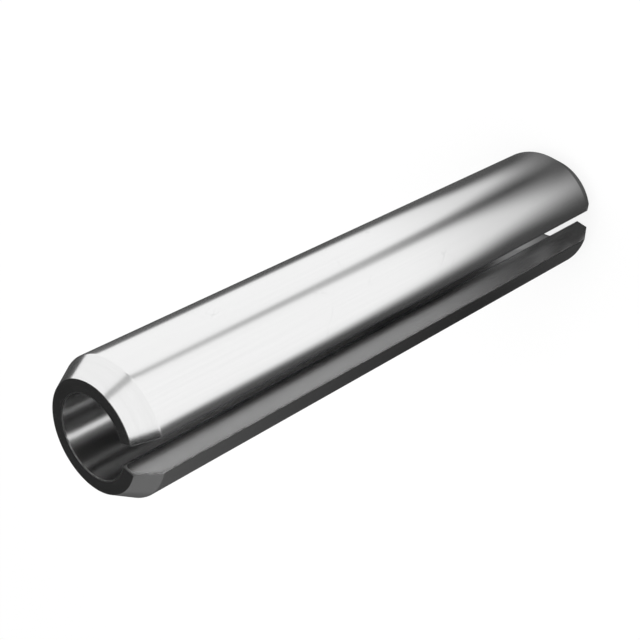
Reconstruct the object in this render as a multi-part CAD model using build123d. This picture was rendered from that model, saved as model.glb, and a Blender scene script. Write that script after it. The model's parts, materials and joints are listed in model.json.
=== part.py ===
from build123d import *
import os

# Slotted spring pin, standing on one of its cut ends.
# The frame's +Z runs up the pin's axis. The origin is on that axis, in the plane of the lower end face.
# The slot faces -Y. Lengths are in millimetres and angles in degrees.

# Driving dimensions. Each one can be set by itself.
OUTSIDE_DIAMETER = 4.0      # over the rolled strip, closed to its nominal size as in its hole
PIN_LENGTH = 20.0           # from end face to end face
STRIP_THICKNESS = 0.8       # spring steel strip that the pin is rolled from
SLOT_ANGLE = 30.0           # left open between the two strip edges, seen from the axis
LEAD_IN_LENGTH = 0.68       # cone at each end, measured along the axis
LEAD_IN_DEPTH = 0.4         # how far that cone comes in from the outside, measured along a radius
SHOULDER_RADIUS = 0.12      # soft ridge where the cone meets the round outside
END_EDGE_RADIUS = 0.025     # edge break on both rims of each end face
STRIP_EDGE_RADIUS = 0.02    # edge break along the corners of the two strip edges

FULL_TURN = 360.0
SLOT_DIRECTION = -90.0      # the slot's middle, as an angle about +Z from +X

outside_radius = OUTSIDE_DIAMETER / 2
bore_radius = outside_radius - STRIP_THICKNESS
end_face_radius = outside_radius - LEAD_IN_DEPTH


def wall_section():
    """One wall of the pin, cut along the axis: straight bore side, straight outside and a cone at each end."""
    upper_shoulder = PIN_LENGTH - LEAD_IN_LENGTH
    corners = [
        (bore_radius, 0),
        (end_face_radius, 0),
        (outside_radius, LEAD_IN_LENGTH),
        (outside_radius, upper_shoulder),
        (end_face_radius, PIN_LENGTH),
        (bore_radius, PIN_LENGTH),
    ]
    with BuildSketch(Plane.XZ) as section:
        with BuildLine():
            Polyline(*corners, close=True)
        make_face()
        on_outside = section.vertices().filter_by_position(Axis.X, outside_radius, outside_radius)
        on_end_faces = section.vertices() - on_outside
        fillet(on_outside, SHOULDER_RADIUS)
        fillet(on_end_faces, END_EDGE_RADIUS)
    return section.sketch


def rolled_strip():
    """The wall carried round the axis, from one strip edge to the other, so that both edges stay radial."""
    swept_angle = FULL_TURN - SLOT_ANGLE
    first_edge = SLOT_DIRECTION + SLOT_ANGLE / 2
    tube = revolve(wall_section(), Axis.Z, swept_angle)
    return tube.rotate(Axis.Z, first_edge)


def break_strip_edges(tube):
    """Round the long corners of both strip edges, as the rolled strip has them."""
    strip_edges = tube.faces().filter_by(GeomType.PLANE).filter_by(Axis.Z, reverse=True)
    return fillet(strip_edges.edges(), STRIP_EDGE_RADIUS)


spring_pin = break_strip_edges(rolled_strip())
spring_pin.label = "spring_pin"

os.makedirs("parts", exist_ok=True)
export_step(spring_pin, "parts/spring_pin.step")
print("spring_pin volume", round(spring_pin.volume, 3), "bounds", spring_pin.bounding_box())
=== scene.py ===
# %% [markdown]
# # A slotted spring pin in bright spring steel
#
# A spring pin is a strip of spring steel, rolled round until it nearly closes. It is driven into a hole
# that is a little too small for it, and the open slot lets it close up and grip. The measured model is
# loaded first and is never changed. What this script adds is the smooth skin of the pin, its steel, and
# a small studio round it. Lengths are in metres, and +Z runs up the pin's axis.

import json
from math import acos, atan2, cos, pi, radians, sin, tan

import bpy
import numpy as np
from mathutils import Matrix, Vector


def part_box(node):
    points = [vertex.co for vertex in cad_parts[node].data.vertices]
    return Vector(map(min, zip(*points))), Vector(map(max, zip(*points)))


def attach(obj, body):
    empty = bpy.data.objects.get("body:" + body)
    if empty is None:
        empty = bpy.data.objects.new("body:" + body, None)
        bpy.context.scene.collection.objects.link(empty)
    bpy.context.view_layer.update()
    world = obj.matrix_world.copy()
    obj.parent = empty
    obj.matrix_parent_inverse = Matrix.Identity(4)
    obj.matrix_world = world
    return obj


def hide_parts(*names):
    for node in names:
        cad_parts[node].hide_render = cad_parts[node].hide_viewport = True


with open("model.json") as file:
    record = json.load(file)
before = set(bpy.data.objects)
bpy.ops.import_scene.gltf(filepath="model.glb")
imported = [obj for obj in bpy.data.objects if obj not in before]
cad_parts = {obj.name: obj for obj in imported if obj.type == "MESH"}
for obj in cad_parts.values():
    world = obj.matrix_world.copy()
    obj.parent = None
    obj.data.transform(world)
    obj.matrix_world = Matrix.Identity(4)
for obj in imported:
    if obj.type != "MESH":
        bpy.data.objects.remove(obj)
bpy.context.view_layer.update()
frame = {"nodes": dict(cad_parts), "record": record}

# %% [markdown]
# ## Sizes
#
# The diameters and the length come from the loaded model: its two round interfaces state their radii.
# The cone, the slot and the small edge radii are repeated here as the maker's drawing would give them.

# %% Sizes of the pin
MM = 0.001
round_mounts = {m["name"]: m["dims"] for m in frame["record"]["mounts"] if "r_mm" in m["dims"]}
outside_radius = round_mounts["outside"]["r_mm"] * MM
bore_radius = round_mounts["bore"]["r_mm"] * MM
pin_low, pin_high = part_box("spring_pin")
pin_length = pin_high.z - pin_low.z

SLOT_ANGLE = radians(30)          # open angle between the strip edges
SLOT_DIRECTION = radians(-90)     # the slot faces -Y
LEAD_IN_LENGTH = 0.68 * MM        # cone at each end, along the axis
LEAD_IN_DEPTH = 0.40 * MM         # the same cone, along a radius
SHOULDER_RADIUS = 0.12 * MM       # soft ridge between cone and round outside
END_EDGE_RADIUS = 0.025 * MM      # edge break at both rims of an end face
STRIP_EDGE_RADIUS = 0.02 * MM     # edge break along the strip's long corners
for label, size in (("outside", 2 * outside_radius), ("bore", 2 * bore_radius), ("length", pin_length)):
    print(label, round(size / MM, 2), "mm")

# %% [markdown]
# ## Camera
#
# The pin stands on its cut end, and the photograph's picture is turned: its upper edge is the pin's +X
# side. So the camera looks down at the pin from beside the slot and is rolled about its own line of
# sight. The line of sight crosses the pin's axis, and one focal length fixes how much the far end
# shrinks.

# %% Camera
VIEW_AZIMUTH = radians(38.78)     # from -Y towards +X
VIEW_ELEVATION = radians(40.15)
VIEW_ROLL = radians(-117.14)
VIEW_DISTANCE = 41.83 * MM
AIM_HEIGHT = 11.54 * MM
LENS = 81.08                      # millimetres of lens ...
SENSOR_WIDTH = 36.0               # ... for a sensor that many millimetres wide
FRAME_SHIFT = 0.45 / 640          # under half a pixel, to lay the edges on the photograph's
NEAREST = 1 * MM                  # the camera sees nothing nearer than this
FARTHEST = 2.0                    # or farther than this


def look_from(azimuth, elevation):
    """Unit vector from the aim point to the camera: round by the azimuth, then up by the elevation."""
    return Vector((sin(azimuth) * cos(elevation), -cos(azimuth) * cos(elevation), sin(elevation)))


def make_camera():
    """A camera whose -Z looks at the aim point, turned by the roll about that line."""
    data = bpy.data.cameras.new("camera")
    data.lens = LENS
    data.sensor_width = SENSOR_WIDTH
    data.shift_y = FRAME_SHIFT
    data.clip_start = NEAREST
    data.clip_end = FARTHEST
    camera = bpy.data.objects.new("camera", data)
    bpy.context.scene.collection.objects.link(camera)
    back = look_from(VIEW_AZIMUTH, VIEW_ELEVATION)
    upright = back.to_track_quat("Z", "Y").to_matrix().to_4x4()
    place = Matrix.Translation(Vector((0, 0, AIM_HEIGHT)) + back * VIEW_DISTANCE)
    camera.matrix_world = place @ upright @ Matrix.Rotation(VIEW_ROLL, 4, "Z")
    return camera


camera = make_camera()
bpy.context.scene.camera = camera
print("camera at", tuple(round(c / MM, 2) for c in camera.matrix_world.translation), "mm")

# %% [markdown]
# ## The outline of the wall
#
# Cut the pin along its axis and each wall is a long thin shape: a straight bore side, a straight
# outside, a cone at each end and a narrow flat end face. Every corner is broken by a small arc, because
# a softened corner is what the eye reads as machined metal. A cube with a bevel could stand in for it,
# but the arcs are known sizes. The outline is made as four sides with matching numbers of points, so
# that the same points can later close the strip's own edge with a tidy grid.

# %% Corners of the outline
face_rim = outside_radius - LEAD_IN_DEPTH
wall_corners = np.array([
    (bore_radius, 0.0), (face_rim, 0.0), (outside_radius, LEAD_IN_LENGTH),
    (outside_radius, pin_length - LEAD_IN_LENGTH), (face_rim, pin_length), (bore_radius, pin_length),
])
lower_radii = [END_EDGE_RADIUS, END_EDGE_RADIUS, SHOULDER_RADIUS]
corner_radii = lower_radii + lower_radii[::-1]
print("wall", round((outside_radius - bore_radius) / MM, 2), "mm thick, corners", len(wall_corners))

# %% Arcs and straight runs
ARC_STEPS = 6


def run(start, end, steps):
    """Points from start to end, with the start kept and the end left to the next piece."""
    share = np.arange(steps)[:, None] / steps
    return np.asarray(start) * (1 - share) + np.asarray(end) * share


def corner_arc(number):
    """An arc that touches both runs at a corner.

    Its centre lies on the corner's bisector, radius / sin(half the corner's angle) away from the corner.
    """
    before, corner, after = (wall_corners[(number + step) % len(wall_corners)] for step in (-1, 0, 1))
    radius = corner_radii[number]
    to_before = (before - corner) / np.linalg.norm(before - corner)
    to_after = (after - corner) / np.linalg.norm(after - corner)
    half = acos(float(to_before @ to_after)) / 2
    bisector = (to_before + to_after) / np.linalg.norm(to_before + to_after)
    centre = corner + bisector * radius / sin(half)
    first = corner + to_before * radius / tan(half)
    last = corner + to_after * radius / tan(half)
    begin, end = (atan2(*(p - centre)[::-1]) for p in (first, last))
    turn = (end - begin + pi) % (2 * pi) - pi
    angles = begin + turn * np.arange(ARC_STEPS + 1) / ARC_STEPS
    return centre + radius * np.stack([np.cos(angles), np.sin(angles)], axis=1)


arcs = [corner_arc(number) for number in range(len(wall_corners))]
print("arc points", sum(len(arc) for arc in arcs))

# %% The four sides of the outline
CONE_STEPS = 8
LENGTH_STEPS = 64
END_FACE_STEPS = 10
HALF_ARC = ARC_STEPS // 2
bore_steps = 2 * CONE_STEPS + LENGTH_STEPS + 2 * ARC_STEPS


def wall_sides():
    """Lower end face, outside going up, upper end face, bore going down: (radius, height) points of each.

    Each side starts halfway round the arc of its first corner, so that the corners of the closing grid
    sit on the arcs.
    """
    lower_face = [arcs[0][HALF_ARC:-1], run(arcs[0][-1], arcs[1][0], END_FACE_STEPS), arcs[1][:HALF_ARC]]
    lower_cone = [arcs[1][HALF_ARC:-1], run(arcs[1][-1], arcs[2][0], CONE_STEPS), arcs[2][:-1]]
    upper_cone = [arcs[3][:-1], run(arcs[3][-1], arcs[4][0], CONE_STEPS), arcs[4][:HALF_ARC]]
    outside = lower_cone + [run(arcs[2][-1], arcs[3][0], LENGTH_STEPS)] + upper_cone
    upper_face = [arcs[4][HALF_ARC:-1], run(arcs[4][-1], arcs[5][0], END_FACE_STEPS), arcs[5][:HALF_ARC]]
    bore = [arcs[5][HALF_ARC:-1], run(arcs[5][-1], arcs[0][0], bore_steps), arcs[0][:HALF_ARC]]
    return [np.concatenate(parts) for parts in (lower_face, outside, upper_face, bore)]


sides = wall_sides()
outline = np.concatenate(sides)
side_starts = np.cumsum([0] + [len(side) for side in sides])
print("outline points", len(outline), "in sides of", [len(side) for side in sides])

# %% [markdown]
# ## The rolled skin
#
# On the real pin the strip is rolled round a mandrel. Here the outline is carried round the axis from
# one strip edge to the other, 330 degrees, which is the same thing in one step. Screw or Solidify
# modifiers could make such a ring too, but not the rounded corners of the strip. Near each strip edge
# the outline shrinks along a quarter circle, which rounds those corners, and a blended grid closes the
# edge.

# %% Rings round the axis
ROUND_STEPS = 5
TURN_STEPS = 220
first_edge = SLOT_DIRECTION + SLOT_ANGLE / 2
last_edge = SLOT_DIRECTION + 2 * pi - SLOT_ANGLE / 2


def inward_normals(points):
    """Unit normals into the wall: the outline's central difference, turned a quarter to the left."""
    along = np.roll(points, -1, axis=0) - np.roll(points, 1, axis=0)
    along /= np.linalg.norm(along, axis=1, keepdims=True)
    return np.stack([-along[:, 1], along[:, 0]], axis=1)


def skin_rings():
    """Rings by outline points by (x, y, z): the outline at each angle round the axis.

    At an angle a round a strip corner, the ring is shrunk by radius * (1 - cos a) and lies
    radius * (1 - sin a) short of the strip's flat edge.
    """
    a = np.linspace(pi / 2, 0, ROUND_STEPS + 1)
    shrink = STRIP_EDGE_RADIUS * (1 - np.cos(a))
    short = STRIP_EDGE_RADIUS * (1 - np.sin(a))
    corner_rings = outline + inward_normals(outline) * shrink[:, None, None]
    first_angles = first_edge + short[:, None] / corner_rings[:, :, 0]
    last_angles = last_edge - short[::-1, None] / corner_rings[::-1, :, 0]
    share = np.linspace(0, 1, TURN_STEPS + 1)[1:-1, None]
    middle_angles = first_angles[-1] * (1 - share) + last_angles[0] * share
    middle_rings = np.repeat(outline[None], len(share), axis=0)
    rings = np.concatenate([corner_rings, middle_rings, corner_rings[::-1]])
    angle = np.concatenate([first_angles, middle_angles, last_angles])
    radius = rings[..., 0]
    return np.stack([radius * np.cos(angle), radius * np.sin(angle), rings[..., 1]], axis=-1)


rings = skin_rings()
print("rings", rings.shape[0], "of", rings.shape[1], "points")

# %% Grids that close the strip edges
def ring_sides(ring):
    """Foot, outer, head and bore side of a ring, each running away from the ring's lower bore corner."""
    s = side_starts
    foot = ring[s[0]:s[1] + 1]
    outer = ring[s[1]:s[2] + 1]
    head = ring[s[2]:s[3] + 1][::-1]
    bore = np.concatenate([ring[s[3]:s[4]], ring[:1]])[::-1]
    return foot, outer, head, bore


def closing_grid(ring):
    """A blend of the ring's four sides, with across and up both going from 0 to 1.

    Both pairs of opposite sides are mixed and added up, and the mix of the four corners is taken off.
    """
    foot, outer, head, bore = ring_sides(ring)
    across = np.linspace(0, 1, len(foot))[None, :, None]
    up = np.linspace(0, 1, len(outer))[:, None, None]
    mixed_sides = bore[:, None] * (1 - across) + outer[:, None] * across
    mixed_ends = foot[None] * (1 - up) + head[None] * up
    low_corners = foot[0] * (1 - across) + foot[-1] * across
    high_corners = head[0] * (1 - across) + head[-1] * across
    return mixed_sides + mixed_ends - low_corners * (1 - up) - high_corners * up


print("closing grid", closing_grid(rings[0]).shape[:2])

# %% Point numbers and faces
def quads(numbers):
    """The faces of a grid of point numbers: one four-cornered face for each cell."""
    corners = [numbers[:-1, :-1], numbers[:-1, 1:], numbers[1:, 1:], numbers[1:, :-1]]
    return np.stack(corners, axis=-1).reshape(-1, 4)


def closing_numbers(ring_numbers, first_free):
    """Point numbers of a closing grid: its rim reuses the ring's points and its inside gets new ones."""
    foot, outer, head, bore = ring_sides(ring_numbers)
    numbers = np.zeros((len(outer), len(foot)), int)
    inside = numbers[1:-1, 1:-1].shape
    numbers[1:-1, 1:-1] = first_free + np.arange(inside[0] * inside[1]).reshape(inside)
    numbers[0], numbers[-1] = foot, head
    numbers[:, 0], numbers[:, -1] = bore, outer
    return numbers


print("first face", quads(np.arange(6).reshape(2, 3))[0])

# %% Which finish each part of the outline has
FINISHES = ["rolled outside", "lead-in cone", "cut end face", "bore", "slit strip edge"]
cone_points = HALF_ARC + CONE_STEPS + HALF_ARC


def outline_finishes():
    """The finish number of every step along the outline, which is the same all round the pin."""
    finish = np.zeros(len(outline), int)
    s = side_starts
    finish[s[0]:s[1]] = FINISHES.index("cut end face")
    finish[s[1]:s[1] + cone_points] = FINISHES.index("lead-in cone")
    finish[s[2] - cone_points:s[2]] = FINISHES.index("lead-in cone")
    finish[s[2]:s[3]] = FINISHES.index("cut end face")
    finish[s[3]:s[4]] = FINISHES.index("bore")
    return finish


finish_steps = np.bincount(outline_finishes(), minlength=len(FINISHES)).tolist()
print("steps of each finish", dict(zip(FINISHES, finish_steps)))

# %% Skin of the pin
def make_mesh(name, points, faces):
    """A mesh object from whole arrays of points and four-cornered faces, shaded smooth."""
    mesh = bpy.data.meshes.new(name)
    mesh.vertices.add(len(points))
    mesh.vertices.foreach_set("co", points.astype(np.float32).ravel())
    mesh.loops.add(faces.size)
    mesh.loops.foreach_set("vertex_index", faces.astype(np.int32).ravel())
    mesh.polygons.add(len(faces))
    mesh.polygons.foreach_set("loop_start", np.arange(0, faces.size, 4, dtype=np.int32))
    mesh.polygons.foreach_set("use_smooth", np.ones(len(faces), bool))
    mesh.update(calc_edges=True)
    piece = bpy.data.objects.new(name, mesh)
    bpy.context.scene.collection.objects.link(piece)
    return piece


def skin_arrays():
    """Points, faces and finish numbers of the skin: the rings, then a grid for each strip edge."""
    ring_count, point_count = rings.shape[:2]
    numbers = np.arange(ring_count * point_count).reshape(ring_count, point_count)
    all_round = np.concatenate([numbers, numbers[:, :1]], axis=1)
    points = [rings.reshape(-1, 3)]
    faces = [quads(all_round)[:, ::-1]]
    finishes = [np.tile(outline_finishes(), ring_count - 1)]
    used = ring_count * point_count
    as_made = slice(None)
    turned_over = slice(None, None, -1)
    for ring, order in ((0, as_made), (ring_count - 1, turned_over)):
        cap = quads(closing_numbers(numbers[ring], used))[:, order]
        inside = closing_grid(rings[ring])[1:-1, 1:-1].reshape(-1, 3)
        faces.append(cap)
        points.append(inside)
        finishes.append(np.full(len(cap), FINISHES.index("slit strip edge")))
        used += len(inside)
    return np.concatenate(points), np.concatenate(faces), np.concatenate(finishes)


skin_points, skin_faces, skin_finishes = skin_arrays()
skin = make_mesh("pin_skin", skin_points, skin_faces)
skin.data.polygons.foreach_set("material_index", skin_finishes.astype(np.int32))
print("skin", len(skin_points), "points,", len(skin_faces), "faces")

# %% [markdown]
# ## How far is the nearest corner?
#
# Tumbling and handling leave corners a little duller than the faces beside them. Their colour is
# darkened there as well, a painted shade that dims the glints of the broken edges. A shader can't
# measure that distance cheaply, so it is worked out here once and stored on the points. The corners
# are the two rims of the bore, and the outline itself where the strip was slit. The blunt rims of
# the cones count as faces.

# %% Distance to the nearest corner
def outline_distance(flat_points):
    """Distance of (radius, height) points from the outline: the least over its straight runs.

    A dot product finds the nearest point of each run, and is held between the run's two ends.
    """
    start = wall_corners
    along = np.roll(wall_corners, -1, axis=0) - start
    offset = flat_points[:, None] - start
    share = np.clip((offset * along).sum(-1) / (along ** 2).sum(-1), 0, 1)
    return np.linalg.norm(offset - along * share[..., None], axis=-1).min(axis=1)


bore_rims = wall_corners[[0, 5]]  # where the bore meets the two end faces


def corner_distance(points):
    """The smaller of two: straight to a rim of the bore, or to the outline at the nearer strip edge."""
    radius = np.hypot(points[:, 0], points[:, 1])
    flat_points = np.stack([radius, points[:, 2]], axis=1)
    to_circles = np.linalg.norm(flat_points[:, None] - bore_rims, axis=-1).min(axis=1)
    from_slot = np.abs((np.arctan2(points[:, 1], points[:, 0]) - SLOT_DIRECTION + pi) % (2 * pi) - pi)
    to_strip_edge = radius * np.abs(from_slot - SLOT_ANGLE / 2)
    return np.minimum(to_circles, np.hypot(outline_distance(flat_points), to_strip_edge))


near_corner = corner_distance(skin_points) / MM
stored = skin.data.attributes.new("corner_distance_mm", "FLOAT", "POINT")
stored.data.foreach_set("value", near_corner.astype(np.float32))
print(f"corner distance from {near_corner.min():.3f} to {near_corner.max():.3f} mm")

# %% Check that the skin is closed and faces outwards
def enclosed_volume(mesh):
    """Volume as the sum of a . (b x c) / 6 over all triangles. Outward faces make it positive."""
    mesh.calc_loop_triangles()
    points = np.zeros(len(mesh.vertices) * 3, np.float32)
    mesh.vertices.foreach_get("co", points)
    corners = np.zeros(len(mesh.loop_triangles) * 3, np.int32)
    mesh.loop_triangles.foreach_get("vertices", corners)
    a, b, c = points.reshape(-1, 3).astype(float)[corners.reshape(-1, 3)].transpose(1, 0, 2)
    return float(np.einsum("ij,ij->i", a, np.cross(b, c)).sum() / 6)


def faces_per_edge(faces):
    """How many faces share each edge: sides with the same two point numbers are one edge."""
    face_sides = np.stack([faces, np.roll(faces, -1, axis=1)], axis=-1).reshape(-1, 2)
    return np.unique(np.sort(face_sides, axis=1), axis=0, return_counts=True)[1]


print("edges by the number of faces that share them", np.bincount(faces_per_edge(skin_faces)))
for label, mesh in (("skin", skin.data), ("CAD solid's mesh", frame["nodes"]["spring_pin"].data)):
    print(label, "volume", round(enclosed_volume(mesh) / MM**3, 2), "cubic mm")

# %% Put the skin on the pin
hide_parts("spring_pin")
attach(skin, "root")
print("the skin rides on the root body")

# %% [markdown]
# ## Helpers for shader nodes
#
# A material is a small net of nodes. Each node and link takes a line, so a few helpers make them: one
# feeds a socket, one does a sum, one makes a soft step and one makes cloudy noise. A last one starts a
# shader group, which is a net with named numbers going in and coming out, and can be used by every
# finish of the pin.

# %% Feed a socket, do a sum
def feed(tree, socket, value):
    """Give a socket its value: a link when it comes from another node, a plain setting otherwise."""
    if isinstance(value, bpy.types.NodeSocket):
        tree.links.new(value, socket)
    else:
        socket.default_value = value


def maths(tree, operation, *values):
    """One sum of numbers, such as ADD or MAXIMUM, and the socket of its result."""
    node = tree.nodes.new("ShaderNodeMath")
    node.operation = operation
    for socket, value in zip(node.inputs, values):
        feed(tree, socket, value)
    return node.outputs[0]


def chain(tree, operation, values):
    """The first value, with each of the others taken in by the same operation."""
    result = values[0]
    for value in values[1:]:
        result = maths(tree, operation, result, value)
    return result


def product(tree, *values):
    """All the values multiplied together."""
    return chain(tree, "MULTIPLY", values)


def total(tree, *values):
    """All the values added up."""
    return chain(tree, "ADD", values)


def largest(tree, *values):
    """The largest of all the values."""
    return chain(tree, "MAXIMUM", values)


def scaled(tree, values, factor):
    """Each of the values multiplied by the same factor."""
    return [product(tree, value, factor) for value in values]


print("helpers for sums are ready")

# %% Soft steps, coordinates and noise
def rise(tree, value, start, end, low=0.0, high=1.0):
    """A soft step: low before start, high past end, and an S-shaped rise between them."""
    node = tree.nodes.new("ShaderNodeMapRange")
    node.interpolation_type = "SMOOTHSTEP"
    for socket, setting in zip(node.inputs, (value, start, end, low, high)):
        feed(tree, socket, setting)
    return node.outputs[0]


def own_place(tree):
    """The x, y and z of a point, measured on its own object."""
    node = tree.nodes.new("ShaderNodeSeparateXYZ")
    tree.links.new(tree.nodes.new("ShaderNodeTexCoord").outputs["Object"], node.inputs[0])
    return list(node.outputs)


def flat_distance(tree, x, y):
    """The distance from the place where x and y are 0, such as the pin's axis: root of x * x + y * y."""
    return maths(tree, "SQRT", maths(tree, "MULTIPLY_ADD", x, x, product(tree, y, y)))


def cloudy(tree, x, y, z, detail=2.0):
    """Noise from 0 to 1 with about one blob for each unit of x, y and z."""
    place = tree.nodes.new("ShaderNodeCombineXYZ")
    for socket, value in zip(place.inputs, (x, y, z)):
        feed(tree, socket, value)
    node = tree.nodes.new("ShaderNodeTexNoise")
    tree.links.new(place.outputs[0], node.inputs["Vector"])
    node.inputs["Scale"].default_value = 1.0
    node.inputs["Detail"].default_value = detail
    return node.outputs[0]


def both_ways(tree, noise):
    """Noise spread out from -1 to 1: a soft step over the middle half of it."""
    return rise(tree, noise, 0.25, 0.75, -1.0, 1.0)


print("helpers for soft steps and noise are ready")

# %% Shader groups
def start_group(name, inputs, outputs):
    """An empty shader group of plain numbers: inputs with their usual values, and outputs by name."""
    group = bpy.data.node_groups.new(name, "ShaderNodeTree")
    for label, usual in inputs.items():
        socket = group.interface.new_socket(name=label, in_out="INPUT", socket_type="NodeSocketFloat")
        socket.default_value = usual
    for label in outputs:
        group.interface.new_socket(name=label, in_out="OUTPUT", socket_type="NodeSocketFloat")
    given = group.nodes.new("NodeGroupInput").outputs
    made = group.nodes.new("NodeGroupOutput").inputs
    return group, given, made


def use(tree, group, settings):
    """Place a group in a material with that material's own values, and give its outputs."""
    node = tree.nodes.new("ShaderNodeGroup")
    node.node_tree = group
    for label, value in settings.items():
        feed(tree, node.inputs[label], value)
    return node.outputs


print("helpers for shader groups are ready")

# %% [markdown]
# ## Tool lines
#
# The strip was rolled and drawn, so its faces carry very fine lines along the pin. The cones and end
# faces were finished with the pin turning, so theirs run round the axis. Both are the same thing: noise
# squeezed across the lines and stretched along them. A picture of brushed metal could do it, but noise
# needs no picture and stays sharp at any distance.

# %% Group of tool lines
def make_tool_lines():
    """Noise at (x, y, third) * scale. Lengthwise, x and y are squeezed and the third is z stretched.

    Round the axis, x and y are stretched and the third is the squeezed radius. The input called Round is
    the share of that kind, from 0 to 1.
    """
    usual = {"Lines per mm": 14.0, "Stretch": 60.0, "Round": 0.0}
    group, given, made = start_group("tool lines", usual, ["Lines"])
    x, y, z = own_place(group)
    radius = flat_distance(group, x, y)
    across = maths(group, "DIVIDE", given["Lines per mm"], MM)
    along = maths(group, "DIVIDE", across, given["Stretch"])
    lengthwise = maths(group, "SUBTRACT", 1.0, given["Round"])
    sideways = total(group, product(group, across, lengthwise), product(group, along, given["Round"]))
    up = product(group, z, along, lengthwise)
    outward = product(group, radius, across, given["Round"])
    lines = cloudy(group, *scaled(group, (x, y), sideways), total(group, up, outward), detail=3.0)
    feed(group, made["Lines"], both_ways(group, lines))
    return group


tool_lines = make_tool_lines()
print("tool lines", len(tool_lines.nodes), "nodes")

# %% [markdown]
# ## Scuffs from handling
#
# Pins are tumbled and shipped loose, so they scratch each other lightly. A thin contour of stretched
# noise is a good scratch: it wanders, fades and never repeats. Two directions cross each other, and a
# slow cloud leaves most of the steel clean.

# %% Group of scuffs
HEIGHT_SHARE = 0.16               # heights count this little, so scratches run mostly along the pin
LEANS = (0.55, -0.85)             # how far askew the two families of scratches run
SECOND_FINER = 1.7                # how much finer the second family is
PATCHES_PER_MM = 0.9              # of the slow cloud that says where the scuffs are
CLEAN_BELOW = 0.75                # cloud level under which steel stays clean, for an Amount of 0
AMOUNT_LOWERS = 0.4               # how far an Amount of 1 lowers that level
PATCH_EDGE = 0.12                 # how softly a scuffed patch starts


def scratch_family(group, lean, per_mm, thickness):
    """Contour lines of noise: 1 where the noise is within a thickness of one half, and 0 away from it.

    The lean mixes some height into x and y, so the scratches run askew.
    """
    x, y, z = scaled(group, own_place(group), maths(group, "DIVIDE", per_mm, MM))
    askew = product(group, z, lean)
    sideways = total(group, x, askew)
    forward = total(group, y, askew)
    noise = cloudy(group, sideways, forward, product(group, z, HEIGHT_SHARE), detail=1.0)
    off_line = maths(group, "ABSOLUTE", maths(group, "SUBTRACT", noise, 0.5))
    return rise(group, off_line, thickness, 0.0)


def make_scuffs():
    """The stronger of two scratch families, kept where a slow cloud passes the level set by Amount."""
    usual = {"Per mm": 1.6, "Thickness": 0.006, "Amount": 0.5}
    group, given, made = start_group("scuffs", usual, ["Scratches"])
    one = scratch_family(group, LEANS[0], given["Per mm"], given["Thickness"])
    finer = product(group, given["Per mm"], SECOND_FINER)
    other = scratch_family(group, LEANS[1], finer, given["Thickness"])
    cloud = cloudy(group, *scaled(group, own_place(group), PATCHES_PER_MM / MM))
    clean_below = maths(group, "SUBTRACT", CLEAN_BELOW, product(group, given["Amount"], AMOUNT_LOWERS))
    kept = rise(group, cloud, clean_below, total(group, clean_below, PATCH_EDGE))
    feed(group, made["Scratches"], product(group, largest(group, one, other), kept))
    return group


scuffs = make_scuffs()
print("scuffs", len(scuffs.nodes), "nodes")

# %% [markdown]
# ## Rubbed and shaded corners, and a thin film
#
# Corners rub against everything, and their many fine scratches send less light one way: they look
# duller. Their colour is also darkened, a painted shade that dims the glints of the broken edges.
# The stored distance says where they are, and a little noise makes the band ragged. Away from them,
# quenching oil leaves a faint cloudy film, which only changes how sharp the reflections are.

# %% Group of rubbed and shaded corners
DENTS_PER_MM = 9.0


def make_rubbed_and_shaded_corners():
    """1 at a corner, falling softly to 0 at Reach. Noise moves the distance by up to Ragged."""
    usual = {"Reach mm": 0.05, "Ragged mm": 0.03}
    group, given, made = start_group("rubbed and shaded corners", usual, ["Rubbed"])
    distance = group.nodes.new("ShaderNodeAttribute")
    distance.attribute_name = "corner_distance_mm"
    noise = cloudy(group, *scaled(group, own_place(group), DENTS_PER_MM / MM), detail=3.0)
    wander = product(group, maths(group, "SUBTRACT", noise, 0.5), given["Ragged mm"], 2.0)
    moved = total(group, distance.outputs["Fac"], wander)
    feed(group, made["Rubbed"], rise(group, moved, given["Reach mm"], 0.0))
    return group


rubbed_and_shaded_corners = make_rubbed_and_shaded_corners()
print("rubbed and shaded corners", len(rubbed_and_shaded_corners.nodes), "nodes")

# %% Group of the thin film
FILM_HEIGHT_SHARE = 0.5           # heights count half, so a patch of film is twice as tall as wide


def make_thin_film():
    """Slow cloudy noise from -1 to 1, with about one patch for each Patch mm."""
    group, given, made = start_group("thin film", {"Patch mm": 1.5}, ["Film"])
    per_metre = maths(group, "DIVIDE", 1.0 / MM, given["Patch mm"])
    x, y, z = scaled(group, own_place(group), per_metre)
    noise = cloudy(group, x, y, product(group, z, FILM_HEIGHT_SHARE), detail=4.0)
    feed(group, made["Film"], both_ways(group, noise))
    return group


thin_film = make_thin_film()
print("thin film", len(thin_film.nodes), "nodes")

# %% [markdown]
# ## The steel
#
# Bright spring steel has almost no colour of its own: what it shows is its surroundings, a little
# darker. So every finish is fully metallic and grey, and differs in how much it sends back, how sharp
# its reflections are, and which marks it carries. The net is the same for all of them, with each
# finish's own values.

# %% One steel finish
MARK_DEPTH = 0.0001 * MM          # how deep the marks are for the bump
SCRATCH_DARKENS = 0.06
# painted shade: how much the corners are darkened, to dim the glints of the broken edges
RUB_AND_SHADE_DARKENS = 0.80
LINES_DULL = 2.0                  # roughness follows the tool lines twice as much as grey does
SCRATCH_DULLS = 0.5
LINE_RELIEF = 10.0                # height of the tool lines for the bump, beside a scratch's 1


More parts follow.
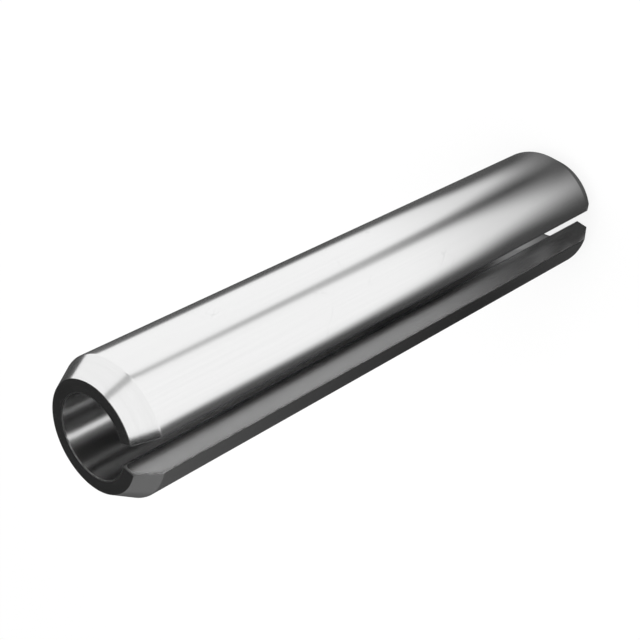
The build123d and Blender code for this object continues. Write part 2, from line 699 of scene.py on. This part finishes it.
def steel_finish(name, grey, roughness, line_values, line_share, scuff_amount, film_share):
    """Grey and roughness, each changed a little by the marks.

    grey * (1 + line_share * lines - SCRATCH_DARKENS * scratches - RUB_AND_SHADE_DARKENS * rubbed), and
    roughness * (1 + LINES_DULL * line_share * lines + film_share * film
    + SCRATCH_DULLS * scratches + rubbed).
    """
    material = bpy.data.materials.new(name)
    material.use_nodes = True
    tree = material.node_tree
    shader = tree.nodes["Principled BSDF"].inputs
    shader["Metallic"].default_value = 1.0
    lines = use(tree, tool_lines, line_values)["Lines"]
    scratches = use(tree, scuffs, {"Amount": scuff_amount})["Scratches"]
    rubbed_and_shaded = use(tree, rubbed_and_shaded_corners, {})["Rubbed"]
    film = use(tree, thin_film, {})["Film"]
    # darker corners are a painted shade that dims the edges' glints; their dullness is wear
    darker = (product(tree, scratches, -SCRATCH_DARKENS), product(tree, rubbed_and_shaded, -RUB_AND_SHADE_DARKENS))
    lighter = total(tree, 1.0, product(tree, lines, line_share), *darker)
    duller = total(
        tree, 1.0, product(tree, lines, LINES_DULL * line_share), product(tree, film, film_share),
        product(tree, scratches, SCRATCH_DULLS), rubbed_and_shaded)
    feed(tree, shader["Base Color"], product(tree, lighter, grey))
    feed(tree, shader["Roughness"], product(tree, duller, roughness))
    bump = tree.nodes.new("ShaderNodeBump")
    bump.inputs["Distance"].default_value = MARK_DEPTH
    relief = total(tree, product(tree, lines, line_share * LINE_RELIEF), product(tree, scratches, -1.0))
    feed(tree, bump.inputs["Height"], relief)
    feed(tree, shader["Normal"], bump.outputs[0])
    return material


print("mark depth", MARK_DEPTH / MM * 1000, "micrometres")

# %% Finishes of the pin
lengthwise = {"Lines per mm": 16.0, "Stretch": 70.0, "Round": 0.0}
round_the_axis = {"Lines per mm": 22.0, "Stretch": 40.0, "Round": 1.0}
coarse_lengthwise = {"Lines per mm": 10.0, "Stretch": 30.0, "Round": 0.0}
finish_values = {
    "rolled outside": dict(grey=0.84, roughness=0.17, line_values=lengthwise, line_share=0.009,
                           scuff_amount=0.45, film_share=0.06),
    "lead-in cone": dict(grey=0.84, roughness=0.17, line_values=round_the_axis, line_share=0.015,
                         scuff_amount=0.30, film_share=0.05),
    "cut end face": dict(grey=0.80, roughness=0.20, line_values=round_the_axis, line_share=0.02,
                         scuff_amount=0.10, film_share=0.06),
    "bore": dict(grey=0.69, roughness=0.20, line_values=lengthwise, line_share=0.015,
                 scuff_amount=0.10, film_share=0.06),
    "slit strip edge": dict(grey=0.73, roughness=0.24, line_values=coarse_lengthwise, line_share=0.014,
                            scuff_amount=0.10, film_share=0.06),
}
for finish in FINISHES:
    steel_name = finish.replace(" ", "_").replace("-", "_") + "_steel"
    skin.data.materials.append(steel_finish(steel_name, **finish_values[finish]))
print("materials", [material.name for material in skin.data.materials])

# %% [markdown]
# ## Floor and background
#
# The pin stands on plain white ground against white. A real sweep of paper would need strong light to
# come out white, and that light would fall on the steel too. So the ground glows a little, but only for
# the rays that look at it: from the camera, by reflection or through glass. The rest of its brightness
# is ordinary matt paint, which keeps the pin's shadow. Far from the pin all of it is glow, so that the
# ground has no visible edge.

# %% Studio cards
scene = bpy.context.scene
scene.view_settings.view_transform = "Standard"


def make_card(name, points, faces):
    """A flat or bent card of the studio, which isn't part of the pin."""
    mesh = bpy.data.meshes.new(name)
    mesh.from_pydata(points, [], faces)
    card = bpy.data.objects.new(name, mesh)
    scene.collection.objects.link(card)
    return card


def empty_net(name):
    """A material with an empty net and its output's surface socket."""
    material = bpy.data.materials.new(name)
    material.use_nodes = True
    tree = material.node_tree
    tree.nodes.clear()
    return material, tree, tree.nodes.new("ShaderNodeOutputMaterial").inputs["Surface"]


def looked_at(tree):
    """1 for rays from the camera, from reflections and through glass, and 0 for all other rays."""
    path = tree.nodes.new("ShaderNodeLightPath").outputs
    return largest(tree, path["Is Camera Ray"], path["Is Glossy Ray"], path["Is Transmission Ray"])


print("view transform", scene.view_settings.view_transform)

# %% White ground
FLOOR_HALF = 0.4
FLOOR_LEVEL = -0.01 * MM
PAINT = 0.8                       # brightness of the matt paint by itself
SHADOW_SHARE = 0.16               # how much of the ground's white can be shaded near the pin
SHADOW_REACH = 60 * MM            # where none of it can


def white_paint():
    """Matt paint for light that bounces, and paint * share + glow * (1 - share) for rays that look."""
    material, tree, surface = empty_net("white_ground")
    x, y, z = own_place(tree)
    away = flat_distance(tree, x, y)
    share = rise(tree, away, SHADOW_REACH, SHADOW_REACH / 3, 0.0, SHADOW_SHARE)
    matt = tree.nodes.new("ShaderNodeBsdfDiffuse")
    matt.inputs["Color"].default_value = (PAINT, PAINT, PAINT, 1)
    shaded = tree.nodes.new("ShaderNodeBsdfDiffuse")
    feed(tree, shaded.inputs["Color"], share)
    glow = tree.nodes.new("ShaderNodeEmission")
    feed(tree, glow.inputs["Strength"], maths(tree, "SUBTRACT", 1.0, share))
    seen = tree.nodes.new("ShaderNodeAddShader")
    tree.links.new(shaded.outputs[0], seen.inputs[0])
    tree.links.new(glow.outputs[0], seen.inputs[1])
    either = tree.nodes.new("ShaderNodeMixShader")
    tree.links.new(looked_at(tree), either.inputs[0])
    tree.links.new(matt.outputs[0], either.inputs[1])
    tree.links.new(seen.outputs[0], either.inputs[2])
    tree.links.new(either.outputs[0], surface)
    return material


corner_signs = [(-1, -1), (1, -1), (1, 1), (-1, 1)]
floor_corners = [(a * FLOOR_HALF, b * FLOOR_HALF, FLOOR_LEVEL) for a, b in corner_signs]
floor = make_card("floor", floor_corners, [(0, 1, 2, 3)])
floor.data.materials.append(white_paint())
print("floor", 2 * FLOOR_HALF, "m wide")

# %% White world
WORLD_LIGHT = 0.5                 # what the world adds to ordinary light
world = bpy.data.worlds.new("white_world")
scene.world = world
world.use_nodes = True
net = world.node_tree
net.nodes.clear()
background = net.nodes.new("ShaderNodeBackground")
background.inputs["Color"].default_value = (1, 1, 1, 1)
strength = maths(net, "MULTIPLY_ADD", looked_at(net), 1 - WORLD_LIGHT, WORLD_LIGHT)
net.links.new(strength, background.inputs["Strength"])
net.links.new(background.outputs[0], net.nodes.new("ShaderNodeOutputWorld").inputs["Surface"])
print("world nodes", len(net.nodes))

# %% Soft box
BOX_SIZE = 0.3
BOX_POWER = 0.65                  # watts
BOX_PLACE = (0.05, -0.05, 0.25)


def soft_box(name, place, aim):
    """A square lamp whose -Z points from its place to the aim."""
    data = bpy.data.lights.new(name, "AREA")
    data.shape = "SQUARE"
    data.size = BOX_SIZE
    data.energy = BOX_POWER
    lamp = bpy.data.objects.new(name, data)
    scene.collection.objects.link(lamp)
    turn = (Vector(place) - Vector(aim)).to_track_quat("Z", "Y").to_matrix().to_4x4()
    lamp.matrix_world = Matrix.Translation(place) @ turn
    return lamp


key = soft_box("key", BOX_PLACE, (0, 0, pin_length / 2))
print("key lamp at", tuple(round(c, 3) for c in key.matrix_world.translation))

# %% [markdown]
# ## What the steel reflects
#
# Polished metal in an all-white room looks like nothing at all. A photographer gives it shape with
# cards: the bright bands on the pin are white panels, and its dark bands are the gaps between them and
# black felt. Seen from this camera, the round outside looks down at the table and the cones look level,
# so a painted table card makes the long bands and upright cards make the ends'. The rims look up, at
# dim cards overhead and behind the camera. A window beside the pin keeps its back from being all dark.
# Upright faces that mirror it to the camera would look towards -Y, where the slot is open, so from the
# front it adds only thin lines of light where the slot cuts the near cone, and a little in the bore.
# Only reflections meet the cards: they cast no light and no shadow. In the functions that paint them,
# x, y, z and every distance are counted in outside radii of the pin.

# %% Helpers for reflected cards
R = outside_radius


def glowing(name, brightness):
    """A material that only glows. The brightness function gets the net and gives a socket or a number."""
    material, tree, surface = empty_net(name)
    glow = tree.nodes.new("ShaderNodeEmission")
    feed(tree, glow.inputs["Strength"], brightness(tree))
    tree.links.new(glow.outputs[0], surface)
    return material


def only_reflected(card, brightness):
    """Make the card glow, and let mirror rays alone meet it."""
    card.data.materials.append(glowing(card.name + "_light", brightness))
    card.visible_camera = False
    card.visible_diffuse = False
    card.visible_shadow = False
    card.visible_transmission = False
    card.visible_volume_scatter = False


def in_radii(tree):
    """x, y and z, counted in outside radii of the pin."""
    return [maths(tree, "DIVIDE", part, R) for part in own_place(tree)]


def past(tree, value, limit):
    """How far a value lies past a limit, and 0 before it."""
    return maths(tree, "MAXIMUM", maths(tree, "SUBTRACT", value, limit), 0.0)


def short_of(tree, value, limit):
    """How far a value falls short of a limit, and 0 past it."""
    return maths(tree, "MAXIMUM", maths(tree, "SUBTRACT", limit, value), 0.0)


print("one unit on the table card is", R / MM, "mm")

# %% Window and felt of the table card
WINDOW_AZIMUTH = radians(-129)    # from +X, so beside the pin, on the -X side of the slot
WINDOW_EDGES = (radians(17), radians(12))  # dark outside the first, bright inside the second
WINDOW_LIGHT = 0.8
FELT_AT_FOOT = 0.004
FELT_RAMP = 0.0052                # how much lighter the felt gets with each radius away
RAMP_END = 16.0                   # where that slows down ...
FAR_RAMP_LENGTH = 30.0            # ... for this many radii more
FAR_RAMP = 0.0012                 # what each of those adds ...
FAR_RAMP_BEHIND = -0.0008         # ... and what it adds far out on the +Y side
SIDE_LIFT = 0.045                 # the +X side is this much lighter, except far towards -Y ...
BAND_LIFT = 0.03                  # ... and this much more in a band on the +Y side of the pin


def side_window(tree, x, y):
    """1 in a sector of directions on the -X side of the slot: a soft step in atan2(y, x)."""
    turned = maths(tree, "SUBTRACT", maths(tree, "ARCTAN2", y, x), WINDOW_AZIMUTH)
    return rise(tree, maths(tree, "ABSOLUTE", turned), *WINDOW_EDGES)


def dark_felt(tree, x, y, away):
    """Nearly black felt: its foot value, two straight ramps in the distance, and two soft lifts."""
    near_ramp = product(tree, maths(tree, "MINIMUM", away, RAMP_END), FELT_RAMP)
    slope = rise(tree, y, 13.0, 21.0, FAR_RAMP, FAR_RAMP_BEHIND)
    far_ramp = product(tree, maths(tree, "MINIMUM", past(tree, away, RAMP_END), FAR_RAMP_LENGTH), slope)
    on_side = rise(tree, x, -4.0, 0.0)
    side_lift = product(tree, on_side, rise(tree, y, -10.0, -2.0), SIDE_LIFT)
    band_lift = product(tree, rise(tree, y, 0.0, 1.5), rise(tree, y, 8.0, 3.0), on_side, BAND_LIFT)
    return total(tree, FELT_AT_FOOT, near_ramp, far_ramp, side_lift, band_lift)


print("window light", WINDOW_LIGHT)

# %% White panels of the table card
def long_edge(tree, x, out, bend_below, bend, lean_past, lean, start, end):
    """A panel's edge along the pin's side: a soft step in x, bent at the pin's foot and leaning far out.

    The step is taken at x + bend * (how far out falls short of bend_below)
    + lean * (how far out lies past lean_past).
    """
    bent = product(tree, short_of(tree, out, bend_below), bend)
    leaning = product(tree, past(tree, out, lean_past), lean)
    return rise(tree, total(tree, x, bent, leaning), start, end)


def near_panel(tree, x, y):
    """The panel on the -Y side: its long edge, narrowed beside the foot, times its inner end in y."""
    out = product(tree, y, -1.0)
    start = rise(tree, out, 2.4, 4.4, 0.60, 0.35)
    edge = long_edge(
        tree, x, out, bend_below=3.0, bend=0.22, lean_past=9.0, lean=-0.09, start=start, end=2.25)
    inner_end = rise(tree, x, 2.5, 4.6, 1.82, 1.52)
    return product(tree, edge, rise(tree, out, 0.10, inner_end))


def far_panel(tree, x, y):
    """The panel on the +Y side, made the same way. Far along X its inner end runs a little askew."""
    edge = long_edge(
        tree, x, y, bend_below=2.3, bend=0.34, lean_past=5.8, lean=-0.12, start=1.55, end=2.85)
    askew = total(tree, y, product(tree, past(tree, x, 8.0), -0.05))
    inner_end = rise(tree, x, 2.8, 4.6, 1.20, 0.97)
    return product(tree, edge, rise(tree, askew, -0.33, inner_end))


print("panels ready")

# %% Glow at the pin's foot
BORE_GLOW = 0.27
SLOT_GLOW = 0.55
SIDE_GLOW = 0.085
CORNER_GLOW = 0.13


def foot_glow(tree, x, y, away):
    """Dim light on the ground, in four soft patches: in the bore, before the slot, and two lobes outside.

    One lobe lies about the line y = 0.22 and one about x + y = 0. Both nearly stop beneath the lower
    lead-in, a painted shade where it overhangs the ground. Each patch is a product of soft steps.
    """
    across_bore = total(tree, product(tree, x, -0.35), product(tree, y, 0.94))
    half_bore = product(tree, rise(tree, away, 0.65, 0.55), rise(tree, across_bore, -0.05, 0.3))
    under_bore = product(tree, half_bore, BORE_GLOW, rise(tree, x, -0.7, -0.1, 0.3, 1.0))
    off_slot = flat_distance(tree, maths(tree, "SUBTRACT", x, 0.04), maths(tree, "ADD", y, 1.06))
    before_slot = rise(tree, off_slot, 0.25, 0.11, 0.0, SLOT_GLOW)
    # painted shade beneath the lower lead-in, where it overhangs the ground
    shade_under_lead_in = rise(tree, away, 0.95, 1.15, 0.15, 1.0)
    near_foot = product(tree, rise(tree, away, 2.4, 1.3), rise(tree, x, -0.5, 0.5), shade_under_lead_in)
    off_side = maths(tree, "ABSOLUTE", maths(tree, "SUBTRACT", y, 0.22))
    side_lobe = product(tree, near_foot, rise(tree, off_side, 0.8, 0.1), SIDE_GLOW)
    off_corner = maths(tree, "ABSOLUTE", product(tree, total(tree, x, y), 0.707))
    corner_lobe = product(tree, near_foot, rise(tree, off_corner, 0.55, 0.0), CORNER_GLOW)
    return total(tree, under_bore, before_slot, side_lobe, corner_lobe)


print("foot glow up to", SLOT_GLOW)

# %% Brightness of the table card
PANEL_LIGHT = 1.05
GAP_LIGHT = 0.40
GAP_FADE = -0.01                  # for each radius past x = 8
# painted shadow of the pin: beside its foot the white is darkened to this share
WHITE_LEFT_IN_FOOT_SHADOW = 0.58              # share of the white that is left beside the pin's foot


def table_brightness(tree):
    """White panels and a window on dark felt, with a dim gap between the panels.

    The brightest of them counts. All of them fade towards the pin's foot, a painted shadow of the pin,
    where a little glow is added.
    """
    x, y, z = in_radii(tree)
    away = flat_distance(tree, x, y)
    fade = product(tree, past(tree, x, 8.0), GAP_FADE)
    gap = total(tree, product(tree, rise(tree, x, 1.5, 7.5), GAP_LIGHT), fade)
    window = product(tree, side_window(tree, x, y), rise(tree, away, 19.0, 25.0), WINDOW_LIGHT)
    brightest = largest(tree, near_panel(tree, x, y), far_panel(tree, x, y), gap, window)
    # towards the foot the white fades: a painted shadow of the pin on the card
    white = product(tree, brightest, rise(tree, away, 1.2, 6.3, WHITE_LEFT_IN_FOOT_SHADOW, 1.0))
    felt = product(tree, maths(tree, "SUBTRACT", 1.0, white), dark_felt(tree, x, y, away))
    return total(tree, product(tree, white, PANEL_LIGHT), felt, foot_glow(tree, x, y, away))


print("panel light", PANEL_LIGHT)

# %% Table card
CARD_RADIUS = 0.15
CARD_LEVEL = FLOOR_LEVEL / 2


def circle_points(radius, angles, level):
    """Points on a level circle round the axis: (radius * cos, radius * sin, level) at each angle."""
    return np.stack([radius * np.cos(angles), radius * np.sin(angles), np.full(len(angles), level)], axis=1)


def disc(name, radius, level, steps=96):
    """A round flat card at one height."""
    angles = np.linspace(0, 2 * pi, steps, endpoint=False)
    return make_card(name, circle_points(radius, angles, level), [tuple(range(steps))])


table_card = disc("table_card", CARD_RADIUS, CARD_LEVEL)
only_reflected(table_card, table_brightness)
print("table card", CARD_RADIUS, "m in radius")

# %% Upright cards
WALL_RADIUS = 0.1
WALL_TOP = 0.2
HOOD_FOOT = 0.09                  # the panels stay in sight below the hood
CAMERA_SIDE_FOOT = 0.1            # and the white surroundings below the card on the camera's side
SLOT_SIDE_ANGLE = -84.5           # where the felt wall and the camera's side meet, in degrees
FELT_END_ANGLE = 82.0             # where the felt wall ends and the hood goes on
LOW_FELT = 0.155                  # below eye level
LOW_FELT_BEHIND = 0.085           # the same on the +Y side
HIGH_FELT = 0.02


def bent_wall(name, start, end, low, steps=48):
    """A card bent round the pin between two angles in degrees, from a low edge up to the walls' top."""
    angles = np.radians(np.linspace(start, end, steps))
    foot = circle_points(WALL_RADIUS, angles, low)
    head = circle_points(WALL_RADIUS, angles, WALL_TOP)
    numbers = np.arange(2 * steps).reshape(2, steps)
    return make_card(name, np.concatenate([foot, head]), quads(numbers).tolist())


def felt_wall_brightness(tree):
    """Dark grey up to eye level and nearly black above it, with the window let in up to that level."""
    x, y, z = in_radii(tree)
    window = product(tree, side_window(tree, x, y), rise(tree, z, 26.0, 22.0), WINDOW_LIGHT)
    low_grey = rise(tree, y, 28.0, 43.0, LOW_FELT, LOW_FELT_BEHIND)
    return largest(tree, rise(tree, z, 17.0, 29.0, low_grey, HIGH_FELT), window)


def even(level):
    """A brightness that is the same all over a card."""
    return lambda tree: level


felt_wall = bent_wall("felt_wall", FELT_END_ANGLE, 360 + SLOT_SIDE_ANGLE, CARD_LEVEL)
only_reflected(felt_wall, felt_wall_brightness)
print("felt wall", WALL_RADIUS, "m away")

# %% Hood, post, camera's side and overhead card
HOOD_LIGHT = 0.03
POST_LIGHT = 0.45                 # a grey post stands between the two panels
DIM_LIGHT = 0.2                   # behind the camera and overhead

felt_hood = bent_wall("felt_hood", 7.5, FELT_END_ANGLE, HOOD_FOOT)
only_reflected(felt_hood, even(HOOD_LIGHT))
post = bent_wall("dark_post", -4.5, 6.0, CARD_LEVEL, steps=4)
only_reflected(post, even(POST_LIGHT))
camera_side = bent_wall("camera_side", SLOT_SIDE_ANGLE, -4.5, CAMERA_SIDE_FOOT)
only_reflected(camera_side, even(DIM_LIGHT))
overhead = disc("overhead", WALL_RADIUS, WALL_TOP)
only_reflected(overhead, even(DIM_LIGHT))
print("cards in the studio", [card.name for card in (felt_hood, post, camera_side, overhead)])
